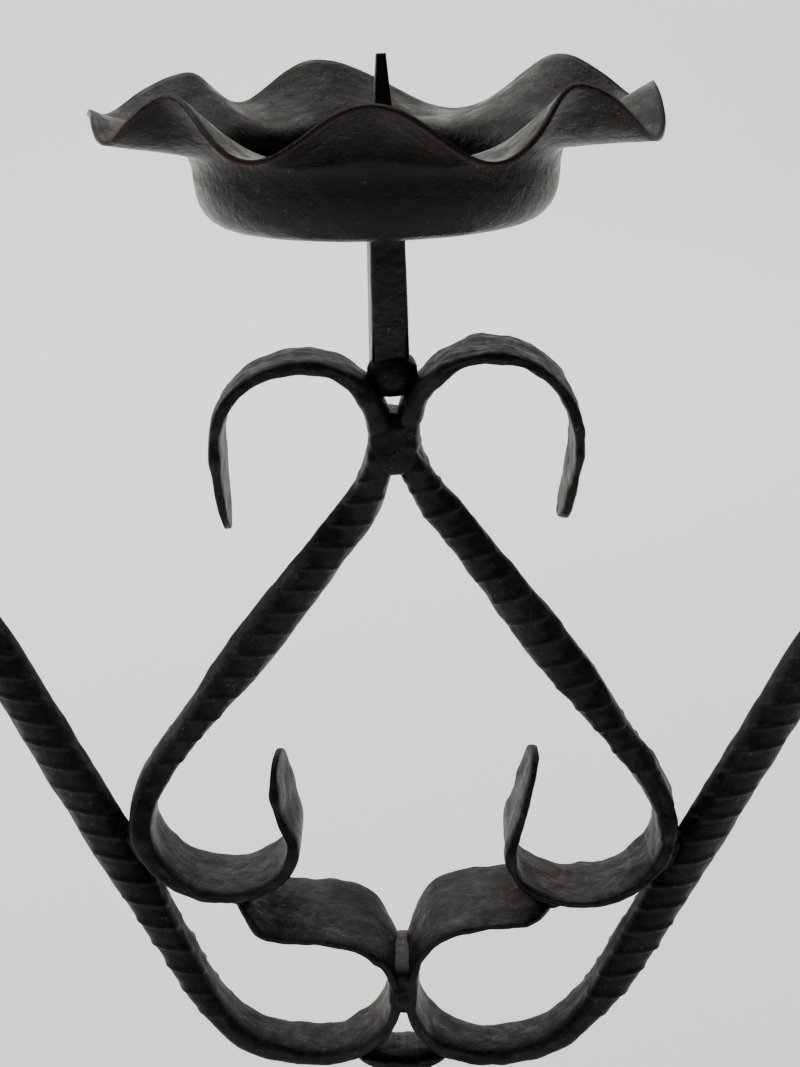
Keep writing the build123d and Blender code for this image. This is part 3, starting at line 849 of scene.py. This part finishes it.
@dataclass
class DripPan(Piece):
    """A sheet cup with a fluted flange, in millimetres."""

    flutes: Sequence[Flute]
    place: Matrix
    hole_x: float = 0.0
    hole_turn: float = 0.0
    floor_radius: float = 54.5
    top_radius: float = 56.5
    height: float = 22.6
    corner: float = 13.8
    sag: float = 0.9
    bend: float = 5.5
    flange: float = 32.5
    sheet: float = 1.5
    hole_side: float = 11.4
    columns: int = 300
    seed: float = 3.0

    SLOT = Slot.SHEET

    # Where the floor's rings begin, how many each part has, and how far apart they count for the UV map.
    FLOOR_START = 10
    FLOOR_RINGS = 12
    ROUND_RINGS = 9
    WALL_RINGS = 4
    FLANGE_RINGS = 14
    RING_APART = 2.5

    # Radius in metres beyond which an open edge is the rim and not the hole.
    RIM_BEYOND = 0.03

    def slope(self, angle: float) -> float:
        """Slope of the flange at an angle around the pan.

        Args:
            angle: Degrees anticlockwise from the right.

        Returns:
            Slope in radians.
        """
        flutes = list(self.flutes)
        for this, following in zip(flutes, flutes[1:] + flutes[:1]):
            gap = (following.angle - this.angle) % 360
            share = (angle - this.angle) % 360 / gap
            if share < 1:
                crest = this.crest if share < 0.5 else following.crest
                swing = (1 + math.cos(2 * math.pi * share)) / 2
                return math.radians(this.valley + (crest - this.valley) * swing)
        return 0.0

    def profile(self, angle: float) -> list[Vector]:
        """Points of the underside from the spike's hole to the rim, at one angle.

        Args:
            angle: Degrees anticlockwise from the right.

        Returns:
            Points in the plane of radius and height.
        """
        slope = self.slope(angle)
        root = Vector((self.top_radius, self.height))
        edge = root + self.flange * Vector((math.cos(slope), math.sin(slope)))
        floor = Vector((0.0, -self.sag))
        foot = Vector((self.floor_radius, -self.sag))
        flat = self.floor_radius - self.corner - self.FLOOR_START
        rings = range(self.FLOOR_RINGS)
        points = [Vector((self.FLOOR_START + flat * i / self.FLOOR_RINGS, -self.sag)) for i in rings]
        points += self.rounded(floor, foot, root, self.corner, self.ROUND_RINGS)
        wall_low = points[-1]
        wall_top = root - (root - foot).normalized() * self.bend
        points += [wall_low + (wall_top - wall_low) * i / self.WALL_RINGS for i in range(1, self.WALL_RINGS)]
        points += self.rounded(foot, root, edge, self.bend, self.ROUND_RINGS)
        last = points[-1]
        points += [last + (edge - last) * i / self.FLANGE_RINGS for i in range(1, self.FLANGE_RINGS + 1)]
        return points

    def rounded(self, a: Vector, corner: Vector, b: Vector, length: float, count: int) -> list[Vector]:
        """Points around a rounded corner.

        Args:
            a: Point before the corner.
            corner: The corner itself.
            b: Point after it.
            length: How far before and after the corner the round reaches.
            count: How many points.

        Returns:
            The points.
        """
        first = corner + (a - corner).normalized() * length
        last = corner + (b - corner).normalized() * length
        shares = [i / (count - 1) for i in range(count)]
        return [(1 - t) ** 2 * first + 2 * t * (1 - t) * corner + t * t * last for t in shares]

    def build(self) -> bmesh.types.BMesh:
        """Lay the underside's rings and give the sheet its thickness.

        Returns:
            A closed mesh in metres.
        """
        angles = [360 * i / self.columns for i in range(self.columns)]
        columns = [self.profile(angle) for angle in angles]
        rows = len(columns[0])
        rings = [[self.hole(angle) for angle in angles]]
        for row in range(rows):
            ring = []
            for angle, column in zip(angles, columns):
                ring.append(self.point(angle, column[row], row / (rows - 1)))
            rings.append(ring)
        lengths = [0.0] + [self.RING_APART * i for i in range(rows)]
        bm = wrapped_grid(rings, lengths)
        bmesh.ops.recalc_face_normals(bm, faces=bm.faces)
        floor = min(bm.faces, key=lambda f: f.calc_center_median().xy.length)
        if floor.normal.z < 0:
            bmesh.ops.reverse_faces(bm, faces=bm.faces)
        rim = bm.verts.layers.float.new("rim")
        edge_verts = {v for e in bm.edges if e.is_boundary for v in e.verts}
        for vert in bm.verts:
            vert[rim] = 1.0 if vert in edge_verts and vert.co.xy.length > self.RIM_BEYOND else 0.0
        bmesh.ops.solidify(bm, geom=bm.faces[:], thickness=-self.sheet * MM)
        bmesh.ops.transform(bm, matrix=self.place, verts=bm.verts)
        bmesh.ops.recalc_face_normals(bm, faces=bm.faces)
        return bm

    def hole(self, angle: float) -> Vector:
        """A point on the edge of the spike's square hole.

        Args:
            angle: Degrees anticlockwise from the right.

        Returns:
            The point in millimetres.
        """
        turned = math.radians(angle - self.hole_turn)
        reach = self.hole_side / 2 / max(abs(math.cos(turned)), abs(math.sin(turned)))
        away = math.radians(angle)
        return Vector((self.hole_x + reach * math.cos(away), reach * math.sin(away), -self.sag))

    def point(self, angle: float, flat: Vector, share: float) -> Vector:
        """A point of the underside with the small unevenness of beaten sheet.

        Args:
            angle: Degrees anticlockwise from the right.
            flat: Radius and height there.
            share: How far out it lies, from 0 at the hole to 1 at the rim.

        Returns:
            The point in millimetres.
        """
        away = math.radians(angle)
        spot = Vector((flat.x * math.cos(away), flat.x * math.sin(away), flat.y))
        lift = 0.35 * grain(spot, 17, self.seed) + 0.12 * grain(spot, 6, self.seed + 4)
        spot.z += lift * ramp(0.25, 0.6, share)
        reach = 1 + 0.004 * grain(spot, 12, self.seed + 7) * ramp(0.6, 1.0, share)
        return Vector((spot.x * reach, spot.y * reach, spot.z))


@dataclass
class WeldLump(Piece):
    """A rounded, uneven lump of weld metal, in millimetres."""

    centre: tuple[float, float, float]
    size: tuple[float, float, float]
    turn_y: float = 0.0
    turn_z: float = 0.0
    seed: float = 5.0
    square: float = 2.8
    unevenness: float = 0.07

    SLOT = Slot.WELD

    # Sizes of the ripples and of the fine unevenness between them, and the share of the latter.
    RIPPLE_SIZE = 9.0
    FINE_SIZE = 3.0
    FINE_SHARE = 0.25

    def build(self) -> bmesh.types.BMesh:
        """Shape the lump from a ball.

        Returns:
            A closed mesh in metres.
        """
        bm = bmesh.new()
        bm.loops.layers.uv.new("Along")
        bmesh.ops.create_icosphere(bm, subdivisions=6, radius=1)
        rough = self.unevenness
        for vert in bm.verts:
            co = vert.co
            spread = sum(abs(c) ** self.square for c in co) ** (-1 / self.square)
            spot = Vector(a * b for a, b in zip(co, self.size))
            ripple = grain(spot, self.RIPPLE_SIZE, self.seed)
            fine = grain(spot, self.FINE_SIZE, self.seed + 2)
            reach = spread * (1 - rough + rough * ripple + self.FINE_SHARE * rough * fine)
            vert.co = Vector(c * reach * s / 2 * MM for c, s in zip(co, self.size))
        lay_streaks(bm)
        around = Matrix.Rotation(math.radians(self.turn_z), 4, "Z")
        lean = Matrix.Rotation(math.radians(self.turn_y), 4, "Y")
        turn = around @ Matrix.Translation(Vector(self.centre) * MM) @ lean
        bmesh.ops.transform(bm, matrix=turn, verts=bm.verts)
        return bm


@dataclass
class WeldRing(Piece):
    """A ring of weld metal under a pan, around its spike, in millimetres."""

    place: Matrix
    inner: float = 5.2
    outer: float = 10.4
    drop: float = 4.0
    seed: float = 6.0
    swell: float = 0.16
    unevenness: float = 0.05

    SLOT = Slot.WELD
    SEGMENTS = 64
    CUTS = 5

    def build(self) -> bmesh.types.BMesh:
        """Shape the ring from a closed tube.

        Returns:
            A closed mesh in metres.
        """
        bm = bmesh.new()
        bm.loops.layers.uv.new("Along")
        bmesh.ops.create_cone(
            bm,
            cap_ends=True,
            cap_tris=False,
            segments=self.SEGMENTS,
            radius1=self.inner,
            radius2=self.outer,
            depth=self.drop,
        )
        slanted = [e for e in bm.edges if abs(e.verts[0].co.z - e.verts[1].co.z) > 1]
        bmesh.ops.subdivide_edges(bm, edges=slanted, cuts=self.CUTS, use_grid_fill=True)
        for vert in bm.verts:
            share = vert.co.z / self.drop + 0.5
            uneven = self.unevenness * grain(vert.co, 3.0, self.seed)
            swell = 1 + self.swell * math.sin(math.pi * share) + uneven
            vert.co = Vector((vert.co.x * swell, vert.co.y * swell, vert.co.z - self.drop / 2)) * MM
        lay_streaks(bm)
        bmesh.ops.transform(bm, matrix=self.place, verts=bm.verts)
        bmesh.ops.recalc_face_normals(bm, faces=bm.faces)
        return bm


# Bends of each bar from end to end, rounded from the CAD source: place, heading, thickness and depth.
LEFT_SCROLL = [
    Bend(54.7, 352.3, 79, 3.1, 18),
    Bend(57.9, 382, 90, 4.3, 30),
    Bend(30.3, 406.1, 180, 4.3, 30),
    Bend(6.5, 382, 270, 8.4, 22, 3.5),
    Bend(18.2, 352, -52.7, 12.8, 14, 2),
    Bend(45.5, 316.1, -52.7, 15, 14.4, 2),
    Bend(72.8, 280.2, -52.7, 9.8, 18.5, 2.6),
    Bend(82.3, 247.2, 241.3, 7.2, 30),
    Bend(57.5, 232.8, 180, 4.8, 34),
    Bend(35, 249.3, 90, 4.8, 34),
    Bend(38, 260.8, 76, 3, 28.5, 5, 9),
    Bend(40, 277.6, 92, 3, 19, 5, 9),
]
RIGHT_SCROLL = [
    Bend(50.3, 356.6, 79, 3.1, 26),
    Bend(54.7, 382, 90, 3.8, 37),
    Bend(28.5, 409.9, 180, 3.8, 37),
    Bend(1.6, 382, 270, 8.4, 22, 3.5),
    Bend(18.2, 352, -52.7, 12.8, 14, 2),
    Bend(46.4, 315, -52.7, 15.2, 14.6, 2),
    Bend(74.6, 278, -52.7, 9.8, 18.5, 2.6),
    Bend(84.1, 245, 241.3, 5.6, 30),
    Bend(57.5, 230.4, 180, 3.2, 34),
    Bend(35, 246.9, 90, 3.2, 34),
    Bend(38, 258.4, 76, 3, 28.5, 5, 2.5),
    Bend(43.2, 278.6, 80, 3, 19, 5, 2.5),
]
ARM_TOP = [
    Bend(228, 499.8, 270, 3, 3, 7),
    Bend(228, 449.8, 270, 11, 11, 7),
    Bend(228, 423.8, 270, 12, 12, 7),
    Bend(186, 366.8, 218, 15, 15, 2),
]
LEFT_ARM = ARM_TOP + [
    Bend(129.6, 310.2, 241.3, 15, 15, 2),
    Bend(92.2, 241.8, 241.3, 15, 15, 2),
    Bend(75.4, 211.1, 241.3, 11.4, 17, 2.6),
    Bend(54.5, 180.5, 220, 8.4, 21, 3.2),
    Bend(26.5, 173, 180, 7, 22, 3.6),
    Bend(1.8, 197.5, 90, 4.8, 35, 3.5),
    Bend(17.3, 219.7, 18, 2.9, 43, 5, 5.5),
    Bend(41.8, 222.6, 12, 2.9, 43, 5, 5.5),
    Bend(55, 228.8, 14, 2.9, 32.2),
]
RIGHT_ARM = ARM_TOP + [
    Bend(130.7, 308.4, 241.3, 15, 15, 2),
    Bend(93.3, 240, 241.3, 15, 15, 2),
    Bend(76.5, 209.3, 241.3, 13.6, 17, 2.6),
    Bend(54.5, 180.5, 220, 8.4, 21, 3.2),
    Bend(26.5, 173, 180, 7, 22, 3.6),
    Bend(2.8, 197.5, 90, 4.8, 35, 3.5),
    Bend(17.3, 223.9, 18, 2.9, 43, 5, 4),
    Bend(38.6, 227, 6, 2.9, 43, 5, 4),
    Bend(50, 227.2, 2, 2.9, 32.2),
]
LEG = [
    Bend(14.7, 139.5, 270, 9, 17, 3.5),
    Bend(14.7, 115.5, 270, 9, 17, 3.5),
    Bend(44, 66, -45, 15, 15, 2),
    Bend(92, 25, -32, 15, 15, 2),
    Bend(134, 3.2, 0, 7.5, 22, 3.5),
    Bend(156, 20, 90, 4.4, 27),
    Bend(142, 32, 190, 3, 27),
]
STEM = [
    Bend(0, 0, 90, 12, 12, 7),
    Bend(0, 52.8, 90, 11, 11, 7),
    Bend(0, 102.8, 90, 3, 3, 7),
]

# The legs by name, each with its turn around the post.
LEG_TURNS = (("right", 0), ("back", 90), ("left", 180), ("front", 270))

# Crotches that keep a trace of rust: x, y, z and how far it reaches.
CROTCHES = (
    (-37.0, 0.0, 231.0, 15.0),
    (38.0, 0.0, 231.0, 16.0),
    (47.0, 0.0, 236.0, 18.0),
    (0.5, 0.0, 208.0, 12.0),
    (0.5, 0.0, 183.0, 16.0),
    (-82.0, -6.0, 246.0, 7.0),
)

# The side pans' flutes are even, and the centre pan's are as the photograph shows them.
EVEN_FLUTES = [Flute(45 * i, 36, 7) for i in range(8)]
HAND_FLUTES = [
    Flute(0, 29, 15),
    Flute(41, 41, 4),
    Flute(105, 38, 12),
    Flute(138, 35, 15),
    Flute(192, 24, 11),
    Flute(226, 39, 6),
    Flute(270, 34, 2),
    Flute(315, 39, 4),
]


@dataclass
class Frame:
    """The bars of the candelabra: scroll bars, arms, stem, post and legs."""

    waist_shift: float = -2.5
    arms_shift: float = 0.5
    stem_turn: float = 8.0
    stem_lean: float = 1.5
    stem_foot: tuple[float, float, float] = (-3.7, 0.0, 397.0)

    def dress(self, bar: bpy.types.Material, square: bpy.types.Material) -> None:
        """Build and set down every bar.

        Args:
            bar: Finish of the ribbed bars.
            square: Finish of the square bars.
        """
        slant = Ribs(lean=-0.73)
        beaten = Ribs(lean=-0.4, height=0.8, above=1.0, below=0.7, dent=0.8, step=0.6, seam_turn=25)
        arm_ribs = Ribs(lean=0.8)
        plain = Ribs(height=0, sink=0, seam_height=0, step=0, dent=0.12, wobble=0.15)
        scrolls = ((Side.LEFT, LEFT_SCROLL, slant, 11.0), (Side.RIGHT, RIGHT_SCROLL, beaten, 23.0))
        for side, bends, ribs, seed in scrolls:
            name = side.name.lower()
            ForgedBar(
                f"{name}_scroll_ribbed", f"{name}_scroll_bar", bends, side, ribs,
                contact=self.waist_shift, tip_first=True, tip_last=True, seed=seed,
            ).dress(bar)
        for side, bends, seed in ((Side.LEFT, LEFT_ARM, 31.0), (Side.RIGHT, RIGHT_ARM, 47.0)):
            name = side.name.lower()
            ForgedBar(
                f"{name}_arm_ribbed", f"{name}_arm", bends, side, arm_ribs,
                contact=self.arms_shift, tip_last=True, seed=seed,
            ).dress(bar)
        for name, angle in LEG_TURNS:
            turn = Matrix.Rotation(math.radians(angle), 4, "Z")
            Leg(
                f"{name}_leg_ribbed", f"{name}_leg", LEG,
                ribs=arm_ribs, tip_last=True, seed=60.0 + angle, place=turn,
            ).dress(bar)
        foot = Matrix.Translation(Vector(self.stem_foot))
        lean = Matrix.Rotation(math.radians(-self.stem_lean), 4, "Y")
        turn = Matrix.Rotation(math.radians(self.stem_turn), 4, "Z")
        ForgedBar(
            "centre_stem_square", "centre_stem", STEM,
            ribs=plain, straight=True, seed=71.0, place=foot @ lean @ turn,
        ).dress(square)
        ForgedBar(
            "post_square", "post", [Bend(0, 99.3, 90, 20, 20, 12), Bend(0, 171.3, 90, 20, 20, 12)],
            ribs=plain, straight=True, seed=83.0,
        ).dress(square)


@dataclass
class Pans:
    """The three drip pans with the weld rings under them."""

    light_out: float = 228.0
    pan_z: float = 449.8
    pan_lean: float = 1.6
    centre_x: float = -7.28
    centre_z: float = 449.72
    pan_shift: float = -2.2
    stem_turn: float = 8.0

    def places(self) -> dict[str, Matrix]:
        """Place of each pan.

        Returns:
            Matrices in metres by the pan's name, the centre one first.
        """
        centre = Matrix.Translation(Vector((self.centre_x, 0, self.centre_z)) * MM)
        lean = Matrix.Rotation(math.radians(-self.pan_lean), 4, "Y")
        sides = {
            side.name.lower(): Matrix.Translation(Vector((side.value * self.light_out, 0, self.pan_z)) * MM)
            for side in Side
        }
        return {"centre": centre @ lean, **sides}

    def dress(self, sheet: bpy.types.Material, weld: bpy.types.Material) -> None:
        """Build and set down every pan and its weld.

        Args:
            sheet: Finish of the pans.
            weld: Finish of the weld metal.
        """
        for index, (name, place) in enumerate(self.places().items()):
            centre = name == "centre"
            hole_x = -self.pan_shift if centre else 0.0
            DripPan(
                f"{name}_pan_fluted", f"{name}_drip_pan", HAND_FLUTES if centre else EVEN_FLUTES, place,
                hole_x=hole_x, hole_turn=self.stem_turn if centre else 0.0, seed=90.0 + 7 * index,
            ).dress(sheet)
            under = place @ Matrix.Translation(Vector((hole_x, 0, 0)) * MM)
            WeldRing(f"{name}_pan_weld_ring", f"{name}_pan_weld", under, seed=120.0 + index).dress(weld)


@dataclass
class Welds:
    """The lumps of weld metal that hold the frame together."""

    def lump(
        self, node: str, centre: Sequence[float], size: Sequence[float], seed: float, **shape: float
    ) -> WeldLump:
        """A lump named for the CAD node that it stands for.

        Args:
            node: CAD node.
            centre: Middle of the lump.
            size: Its width, depth and height.
            seed: Its own seed.
            shape: Squareness, unevenness or turn that differs from the usual.

        Returns:
            The lump, not yet built.
        """
        return WeldLump(f"{node}_bead", node, tuple(centre), tuple(size), seed=seed, **shape)

    def lumps(self) -> list[WeldLump]:
        """Every lump, from the stem's foot down to the legs.

        Returns:
            The lumps in the order in which they are set down.
        """
        found = [
            self.lump("stem_weld", (-3.1, 0, 402.0), (16.5, 19, 14.5), 131, square=2.6, unevenness=0.05),
            self.lump("waist_weld", (-2.5, 0, 381), (16.5, 23.4, 21), 133, square=4.5, unevenness=0.04),
            self.lump("arms_weld", (0.5, 0, 199.6), (11, 36.6, 19), 135, square=4.5, unevenness=0.04),
            self.lump("post_weld", (0, 0, 170.9), (32, 24, 5.6), 137),
            self.lump("left_arm_weld", (-85.4, 0, 245.6), (8, 16.5, 16.5), 139, turn_y=-28.7),
            self.lump("right_arm_weld", (86.6, 0, 243.6), (8, 16.5, 16.5), 141, turn_y=28.7),
            self.lump("left_tongue_weld", (-53, 0, 230.4), (11.2, 25.8, 6), 143),
            self.lump("right_tongue_weld", (48, 0, 228.8), (11.2, 25.8, 6), 145),
        ]
        for name, angle in LEG_TURNS:
            size = (11.2, 16, 9.6)
            found.append(self.lump(f"{name}_leg_weld", (10.15, 0, 139.5), size, 150 + angle, turn_z=angle))
        return found

    def dress(self, weld: bpy.types.Material) -> None:
        """Build and set down every lump.

        Args:
            weld: Finish of the weld metal.
        """
        for lump in self.lumps():
            lump.dress(weld)


@dataclass(frozen=True)
class MattPaper:
    """Matt studio paper, lit through from behind: an even pale ground without gloss."""

    name: str = "matt_studio_paper"
    colour: str = "#ECE9E4"
    roughness: float = 0.9
    glow: float = 0.62

    def build(self) -> bpy.types.Material:
        """Make the material.

        Returns:
            A plain matt material.
        """
        material = bpy.data.materials.new(self.name)
        material.use_nodes = True
        tree = material.node_tree
        tree.nodes.clear()
        paper = to_linear(self.colour)
        shader = add_node(
            tree,
            "ShaderNodeBsdfPrincipled",
            {
                "Base Color": paper,
                "Roughness": self.roughness,
                "Emission Color": paper,
                "Emission Strength": self.glow,
            },
        )
        add_node(tree, "ShaderNodeOutputMaterial", None, {"Surface": shader.outputs["BSDF"]})
        return material


@dataclass(frozen=True)
class SoftLight:
    """A soft square light: its place, the point it faces, its width in metres and its power in watts."""

    name: str
    at: tuple[float, float, float]
    to: tuple[float, float, float]
    size: float
    power: float

    def hang(self) -> None:
        """Hang the light."""
        data = bpy.data.lights.new(self.name, "AREA")
        data.shape = "SQUARE"
        data.size = self.size
        data.energy = self.power
        lamp = bpy.data.objects.new(self.name, data)
        bpy.context.scene.collection.objects.link(lamp)
        lamp.location = self.at
        lamp.rotation_euler = (Vector(self.to) - Vector(self.at)).to_track_quat("-Z", "Y").to_euler()


LIGHTS = (
    SoftLight("overhead_soft", (-0.4, 1.0, 2.6), (0, 0.6, 0), 2.4, 44),
    SoftLight("window_left", (-2.0, 0.3, 1.3), (0, 0, 0.35), 1.2, 22),
    SoftLight("cove_wash", (-0.5, 2.2, 2.8), (0, 4.2, 0.8), 2.0, 65),
)


@dataclass
class Studio:
    """Pale floor that curves up far behind, soft lights and the camera, in metres."""

    camera_at: tuple[float, float, float] = (-0.0006, -0.726, 0.5436)
    tilt_down: float = 14.9
    lens: float = 80.06
    floor_half: float = 4.0
    cove_start: float = 3.0
    cove_radius: float = 1.5
    wall_height: float = 5.0
    cove_steps: int = 24
    seen: str = "#DEDDDA"
    dim: str = "#DDE3EA"
    dim_strength: float = 0.16

    def floor(self) -> None:
        """Lay the floor and its curved back as one sheet of paper."""
        bm = bmesh.new()
        bmesh.ops.create_grid(bm, x_segments=1, y_segments=self.cove_steps + 2, size=1)
        bm.verts.ensure_lookup_table()
        line = [(-self.floor_half, 0.0), (self.cove_start, 0.0)]
        for step in range(1, self.cove_steps + 1):
            angle = math.radians(90 * step / self.cove_steps)
            line.append((
                self.cove_start + self.cove_radius * math.sin(angle),
                self.cove_radius * (1 - math.cos(angle)),
            ))
        line.append((self.cove_start + self.cove_radius, self.wall_height))
        for index, vert in enumerate(bm.verts):
            y, z = line[index // 2]
            vert.co = Vector(((index % 2 * 2 - 1) * self.floor_half, y, z))
        bmesh.ops.recalc_face_normals(bm, faces=bm.faces)
        set_down(bm, "studio_floor", [], None, MattPaper().build())

    def room(self) -> None:
        """Surround the studio: pale where it is seen, and dim where it lights the front of the object."""
        world = bpy.data.worlds.new("pale_room")
        world.use_nodes = True
        tree = world.node_tree
        tree.nodes.clear()
        seen = add_node(tree, "ShaderNodeBackground", {"Color": to_linear(self.seen), "Strength": 1.0})
        settings = {"Color": to_linear(self.dim), "Strength": self.dim_strength}
        dim = add_node(tree, "ShaderNodeBackground", settings)
        path = add_node(tree, "ShaderNodeLightPath").outputs["Is Camera Ray"]
        either = {0: path, 1: dim.outputs["Background"], 2: seen.outputs["Background"]}
        both = add_node(tree, "ShaderNodeMixShader", None, either)
        add_node(tree, "ShaderNodeOutputWorld", None, {"Surface": both.outputs["Shader"]})
        bpy.context.scene.world = world

    def build(self) -> None:
        """Set up floor, lights, room and camera."""
        self.floor()
        for light in LIGHTS:
            light.hang()
        self.room()
        data = bpy.data.cameras.new("photo_camera")
        data.lens = self.lens
        data.sensor_width = 36.0
        camera = bpy.data.objects.new("photo_camera", data)
        bpy.context.scene.collection.objects.link(camera)
        camera.location = self.camera_at
        camera.rotation_euler = (math.radians(90 - self.tilt_down), 0, 0)
        bpy.context.scene.camera = camera


# Ribbed bar: near-black satin that greys where it faces up, from dust and a painted sheen of the top light,
# and browns in its crotches.
FORGED = BlackenedSteel("blackened_forged_steel", crotches=CROTCHES)

# Square bar: blacker and smoother, so that its edges show as thin lines of light.
SQUARE = BlackenedSteel(
    "blackened_square_bar",
    dark="#030304",
    light="#08090A",
    # Share of dust and painted sheen on up-facing faces.
    dust_and_sheen_share=0.2,
    dent_mm=3.0,
    bump_mm=0.15,
    specular=0.3,
    rough_low=0.2,
    rough_high=0.4,
)

# Pan sheet: black and finely beaten, with patches of dust and a painted sheen of the top light on its
# up-facing faces, and a rim rubbed brown.
SHEET = BlackenedSteel(
    "blackened_sheet_steel",
    dark="#030405",
    light="#121010",
    # Dust and the painted sheen on up-facing faces: their colour and share.
    dust="#8A7F6C",
    dust_and_sheen_share=0.13,
    speck_share=0.3,
    rust_share=0.35,
    rough_low=0.18,
    rough_high=0.42,
    dust_rough=2.4,
    specular=0.16,
    patch_mm=17.0,
    dust_and_sheen_mm=9.0,
    dent_mm=4.0,
    pit_mm=0.7,
    bump_mm=0.32,
    rim_wear=0.9,
)

# Weld metal: as black as the bars, so that it melts into them.
WELD = BlackenedSteel(
    "blackened_weld_metal",
    light="#0C0D10",
    # Little dust and painted sheen on up-facing faces.
    dust_and_sheen_share=0.05,
    rust_share=0.12,
    dent_mm=4.0,
    bump_mm=0.15,
)


def main() -> None:
    """Build the candelabra's looks in order."""
    logging.basicConfig(level=logging.INFO, format="%(name)s: %(message)s")
    bar, square, sheet, weld = [finish.build() for finish in (FORGED, SQUARE, SHEET, WELD)]
    Frame().dress(bar, square)
    Pans().dress(sheet, weld)
    Welds().dress(weld)
    Studio().build()


if __name__ == "__main__":
    main()
